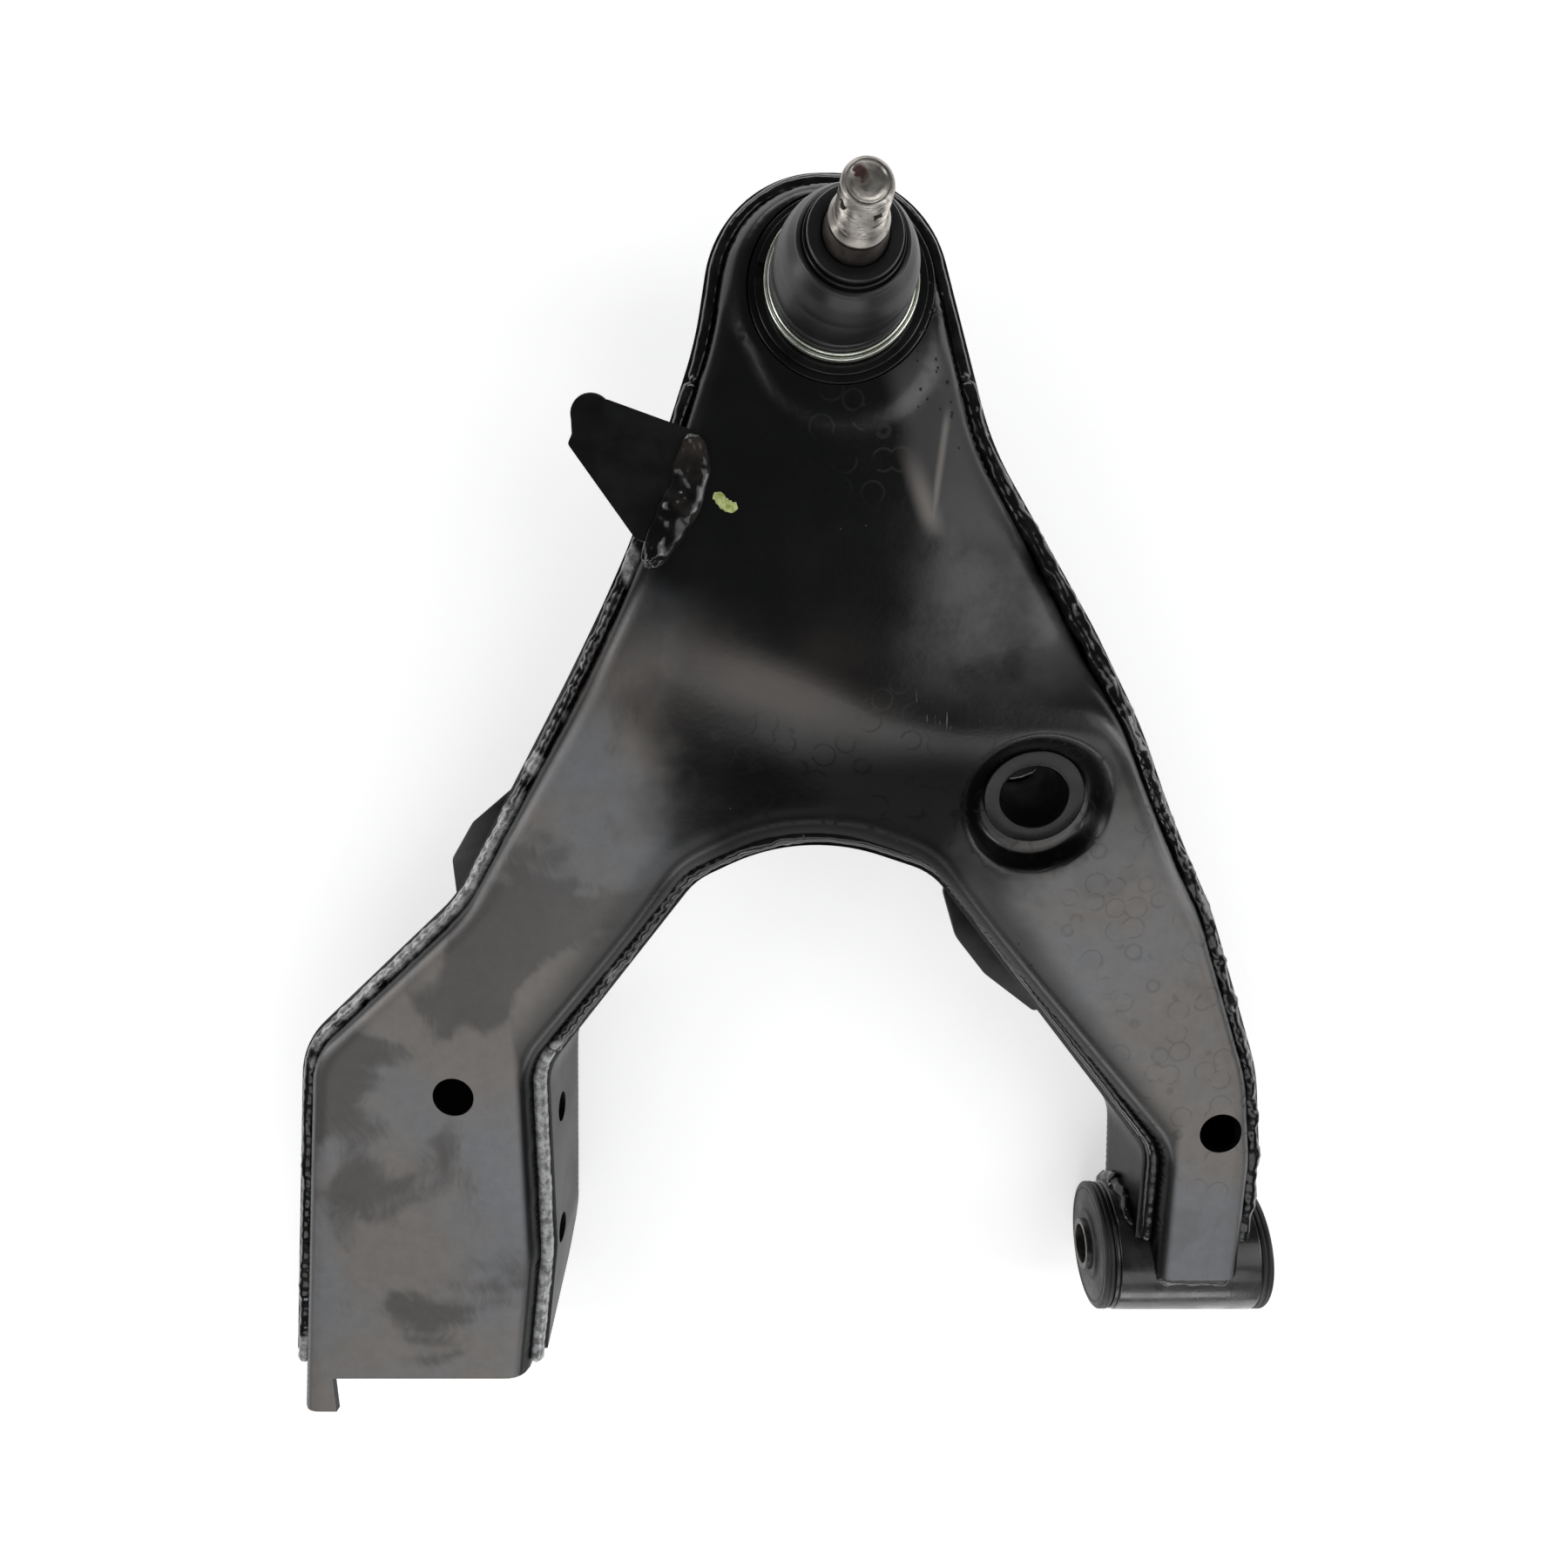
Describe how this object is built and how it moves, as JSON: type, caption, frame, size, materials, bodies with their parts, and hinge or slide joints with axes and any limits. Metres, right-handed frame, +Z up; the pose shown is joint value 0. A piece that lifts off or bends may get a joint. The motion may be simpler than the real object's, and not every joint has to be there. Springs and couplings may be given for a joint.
{
  "type": "suspension control arm",
  "caption": "Pressed-steel A-shaped suspension control arm with a booted ball joint, a bonded pivot bush, a bolted open leg and a link collar.",
  "frame": {"origin": "centre of the pivot bush bore", "axes": "+X along the pivot bore away from the left leg, +Y outboard toward the ball joint, +Z up on the stud side"},
  "size_m": [0.4788, 0.551, 0.1824],
  "materials": {
    "shell_coat": "semi-gloss electrocoat over pressed steel, greyer on the legs",
    "weld_coat": "glossy coated weld bead",
    "machined_coat": "coated machined steel",
    "stud_steel": "bare turned steel with light rust",
    "zinc_ring": "yellow zinc plate",
    "spring_steel": "black spring steel",
    "boot_rubber": "satin black rubber",
    "bush_rubber": "matte grey-black rubber",
    "seat_plastic": "acetal liner",
    "bush_steel": "bare steel sleeve"
  },
  "bodies": {
    "arm": {"upper_shell": "shell_coat", "lower_shell": "shell_coat", "weld_nose": "weld_coat", "weld_left": "weld_coat", "weld_right": "weld_coat", "weld_arch": "weld_coat", "joint_seat_ring": "machined_coat", "weld_seat_ring": "weld_coat", "joint_housing": "machined_coat", "joint_base_cap": "machined_coat", "ball_seat": "seat_plastic", "housing_circlip": "spring_steel", "boot_clip_ring": "zinc_ring", "stop_bracket": "shell_coat", "stop_boss": "machined_coat", "weld_stop_bracket": "weld_coat", "link_collar": "machined_coat", "weld_link_collar": "weld_coat", "bush_tube": "machined_coat", "bush_outer_sleeve": "bush_steel", "bush_rubber": "bush_rubber", "weld_tube_inner": "weld_coat", "weld_tube_outer": "weld_coat", "weld_tube_end": "weld_coat", "left_brace_lip": "shell_coat", "arch_brace_lip": "shell_coat"},
    "boot": {"dust_boot": "boot_rubber"},
    "neck": {"boot_neck_ring": "spring_steel"},
    "stud": {"ball_stud": "stud_steel"},
    "bush_sleeve": {"bush_inner_sleeve": "bush_steel"}
  },
  "joints": [
    {"name": "ball_tilt_x", "type": "hinge", "parent": "arm", "child": "boot", "pos_m": [-0.171, 0.43, 0.08], "axis": [1, 0, 0], "range_deg": [-15, 25], "deforming": ["dust_boot"]},
    {"name": "ball_tilt_y", "type": "hinge", "parent": "boot", "child": "neck", "pos_m": [-0.171, 0.43, 0.08], "axis": [0, 1, 0], "range_deg": [-24, 15]},
    {"name": "stud_spin", "type": "hinge", "parent": "neck", "child": "stud", "pos_m": [-0.171, 0.43, 0.08], "axis": [0.0792, 0.088, 0.993], "continuous": true},
    {"name": "bush_twist", "type": "hinge", "parent": "arm", "child": "bush_sleeve", "pos_m": [0, 0, 0], "axis": [1, 0, 0], "range_deg": [-25, 25], "stiffness_Nm_per_rad": 20}
  ]
}
